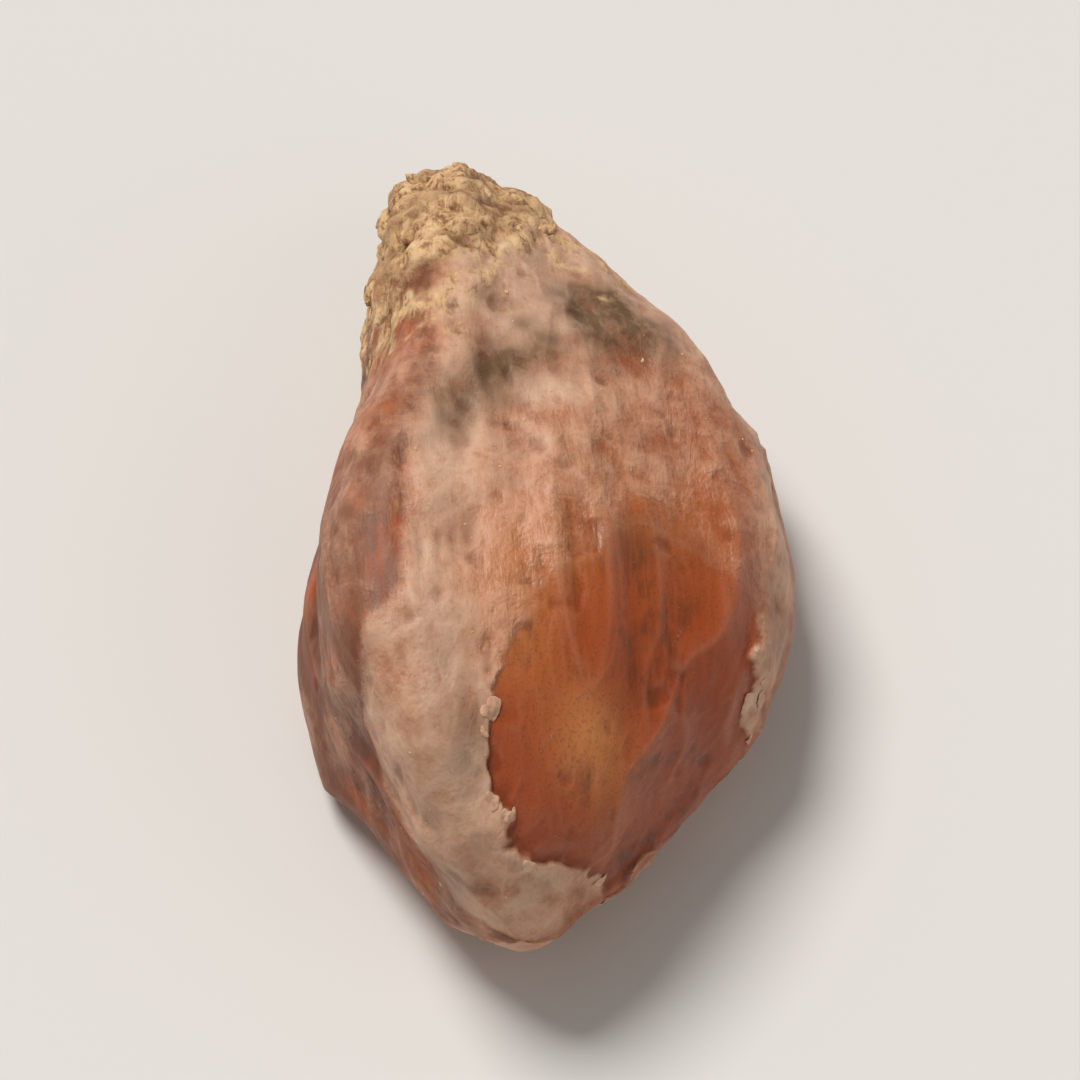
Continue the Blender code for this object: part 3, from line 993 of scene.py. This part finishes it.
class QUINCE_OT_flakes(bpy.types.Operator):
    """Lays thin curling flakes of film along the edge where it has worn away"""

    bl_idname = "quince.flakes"
    bl_label = "Film flakes"

    def execute(self, context):
        skin = current_skin(context.scene)
        count = context.scene.quince_seed_shape.flakes
        rng = np.random.default_rng(17)
        edge, along = skin["edge"], skin["along"]
        inner = (along > 0.12) * (along < 0.93) * (skin["points"][..., 2] > 0.5) * (skin["pulp"] < 0.1)
        torn = (np.abs(edge - 0.03) < 0.03) * inner * ease(skin["film"], 0.25, 0.7) * skin["broken"]
        rows, columns = chosen_places(skin, torn, count, rng)
        slope_down = np.gradient(edge, axis=0)[rows, columns]
        slope_across = ((np.roll(edge, -1, axis=1) - np.roll(edge, 1, axis=1)) / 2)[rows, columns]
        down, across = skin_steps(skin, rows, columns)
        lifted_side = np.arctan2(-slope_down / down, -slope_across / across) + rng.normal(0, 0.5, count)

        rings, spokes = 7, 18
        share = (np.arange(1, rings + 1) / rings)[None, :, None]
        azimuth = turn_of(spokes)[None]
        phase = rng.uniform(0, 2 * np.pi, (count, 3))[:, :, None, None]
        radius = (0.030 + 0.085 * rng.random(count) ** 1.8)[:, None, None]
        outline = 1.55
        for i, (notch, turns) in enumerate(((0.42, 1.0), (0.34, 1.5), (0.20, 2.5))):
            outline = outline - notch * np.abs(np.sin(turns * azimuth + phase[:, i]))
        reach = radius * share * outline
        rows_at = rows[:, None, None] + reach * np.sin(azimuth) * 1.3 / down[:, None, None]
        columns_at = columns[:, None, None] + reach * np.cos(azimuth) / across[:, None, None]
        point, normal = on_skin(skin, rows_at, columns_at)
        facing = np.clip(np.cos(azimuth - lifted_side[:, None, None]), 0, 1)
        lift = rng.uniform(0.04, 0.26, count)[:, None, None]
        height = 0.003 + lift * radius * facing**1.5 * share**2 + 0.004 * np.sin(3 * azimuth + phase[:, 0]) * share
        thickness = 0.006 * (1 - 0.8 * share**3)
        upper = point + normal * (height + thickness)[..., None]
        lower = point + normal * (height - 0.004)[..., None]
        centre, centre_normal = on_skin(skin, rows.astype(float), columns.astype(float))
        sheet = np.concatenate([upper, lower[:, ::-1]], axis=1).reshape(count, -1, 3)
        top = (centre + centre_normal * 0.010)[:, None]
        bottom = (centre - centre_normal * 0.001)[:, None]
        points = np.concatenate([sheet, top, bottom], axis=1).reshape(-1, 3)
        new_piece(context.scene, "film_flakes", points, many_grids(count, 2 * rings, spokes), flake_material)
        return {"FINISHED"}


class QUINCE_OT_dust(bpy.types.Operator):
    """Scatters small grains of dust over the seed, most of them in its hollows"""

    bl_idname = "quince.dust"
    bl_label = "Dust specks"

    def execute(self, context):
        scene = context.scene
        skin = current_skin(scene)
        along = skin["along"]
        wanted = (0.25 + skin["hollow"]) * (skin["points"][..., 2] > 0.15) * (along > 0.02) * (along < 0.98)
        wanted = wanted * ease(skin["film"], 0.1, 0.5)
        scatter_grains(
            scene, "dust_specks", wanted, scene.quince_seed_shape.specks, speck_material,
            seed=5, sizes=(0.006, 0.014, 3), sink=0.6, grid=(4, 7),
        )
        return {"FINISHED"}


class QUINCE_OT_stage(bpy.types.Operator):
    """Sets the plain pale floor, the soft lights and the camera"""

    bl_idname = "quince.stage"
    bl_label = "Studio"

    def execute(self, context):
        scene = context.scene
        stage = scene.quince_seed_stage
        mesh = bpy.data.meshes.new("studio_floor")
        half = stage.floor_size / 2
        corners = [(-half, -half, 0), (half, -half, 0), (half, half, 0), (-half, half, 0)]
        mesh.from_pydata(corners, [], [(0, 1, 2, 3)])
        material = bpy.data.materials.new("studio_floor")
        material.use_nodes = True
        shader = material.node_tree.nodes["Principled BSDF"]
        feed(shader, {"Base Color": stage.floor_colour, "Roughness": 0.75})
        mesh.materials.append(material)
        floor = bpy.data.objects.new("studio_floor", mesh)
        scene.collection.objects.link(floor)

        scene.view_settings.view_transform = "Standard"
        lights = (
            ("key_light", stage.key_light, (-0.32, 0.44, 0.84), 26.0, (1.0, 0.98, 0.955)),
            ("fill_light", stage.fill_light, (0.8, -0.7, 0.75), 60.0, (1.0, 0.98, 0.96)),
        )
        for name, strength, towards, spread, colour in lights:
            lamp = bpy.data.lights.new(name, "SUN")
            lamp.energy = strength
            lamp.angle = math.radians(spread)
            lamp.color = colour
            holder = bpy.data.objects.new(name, lamp)
            holder.rotation_euler = Vector(towards).to_track_quat("Z", "Y").to_euler()
            scene.collection.objects.link(holder)

        world = bpy.data.worlds.new("studio_room")
        world.use_nodes = True
        backdrop = world.node_tree.nodes["Background"]
        room = (*(stage.room_light * share for share in (1.0, 0.98, 0.96)), 1.0)
        seen = add(world.node_tree, "LightPath").outputs["Is Camera Ray"]
        feed(backdrop, {"Color": blend(seen, room, stage.backdrop_colour)})
        scene.world = world

        camera = bpy.data.cameras.new("camera")
        camera.lens = stage.lens
        camera.sensor_width = 36.0
        camera.clip_start = 0.001
        camera.clip_end = 10.0
        holder = bpy.data.objects.new("camera", camera)
        towards = Vector((
            math.sin(stage.azimuth) * math.cos(stage.elevation),
            -math.cos(stage.azimuth) * math.cos(stage.elevation),
            math.sin(stage.elevation),
        ))
        distance = stage.framed * camera.lens / camera.sensor_width
        middle = Vector((0.0, 0.0, SEED_SIZE.z * 0.45))
        holder.location = middle + towards * distance
        holder.rotation_euler = towards.to_track_quat("Z", "Y").to_euler()
        scene.collection.objects.link(holder)
        scene.camera = holder
        return {"FINISHED"}


# Panel and registration

STEPS = (QUINCE_OT_seed, QUINCE_OT_pulp, QUINCE_OT_flakes, QUINCE_OT_dust, QUINCE_OT_stage)


class QUINCE_PT_panel(bpy.types.Panel):
    """Lists the steps and the settings in the sidebar"""

    bl_label = "Quince Seed"
    bl_idname = "QUINCE_PT_panel"
    bl_space_type = "VIEW_3D"
    bl_region_type = "UI"
    bl_category = "Quince Seed"

    def draw(self, context):
        for step in STEPS:
            self.layout.operator(step.bl_idname)
        scene = context.scene
        for group in (scene.quince_seed_shape, scene.quince_seed_colours, scene.quince_seed_stage):
            for setting in group.__annotations__:
                self.layout.prop(group, setting)


CLASSES = (QuinceSeedShape, QuinceSeedColours, QuinceSeedStage, *STEPS, QUINCE_PT_panel)


def register():
    for each in CLASSES:
        bpy.utils.register_class(each)
    bpy.types.Scene.quince_seed_shape = bpy.props.PointerProperty(type=QuinceSeedShape)
    bpy.types.Scene.quince_seed_colours = bpy.props.PointerProperty(type=QuinceSeedColours)
    bpy.types.Scene.quince_seed_stage = bpy.props.PointerProperty(type=QuinceSeedStage)


def unregister():
    del bpy.types.Scene.quince_seed_stage
    del bpy.types.Scene.quince_seed_colours
    del bpy.types.Scene.quince_seed_shape
    for each in reversed(CLASSES):
        bpy.utils.unregister_class(each)


def main():
    """Registers the add-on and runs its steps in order."""
    register()
    bpy.ops.quince.seed()
    bpy.ops.quince.pulp()
    bpy.ops.quince.flakes()
    bpy.ops.quince.dust()
    bpy.ops.quince.stage()


if __name__ == "__main__":
    main()
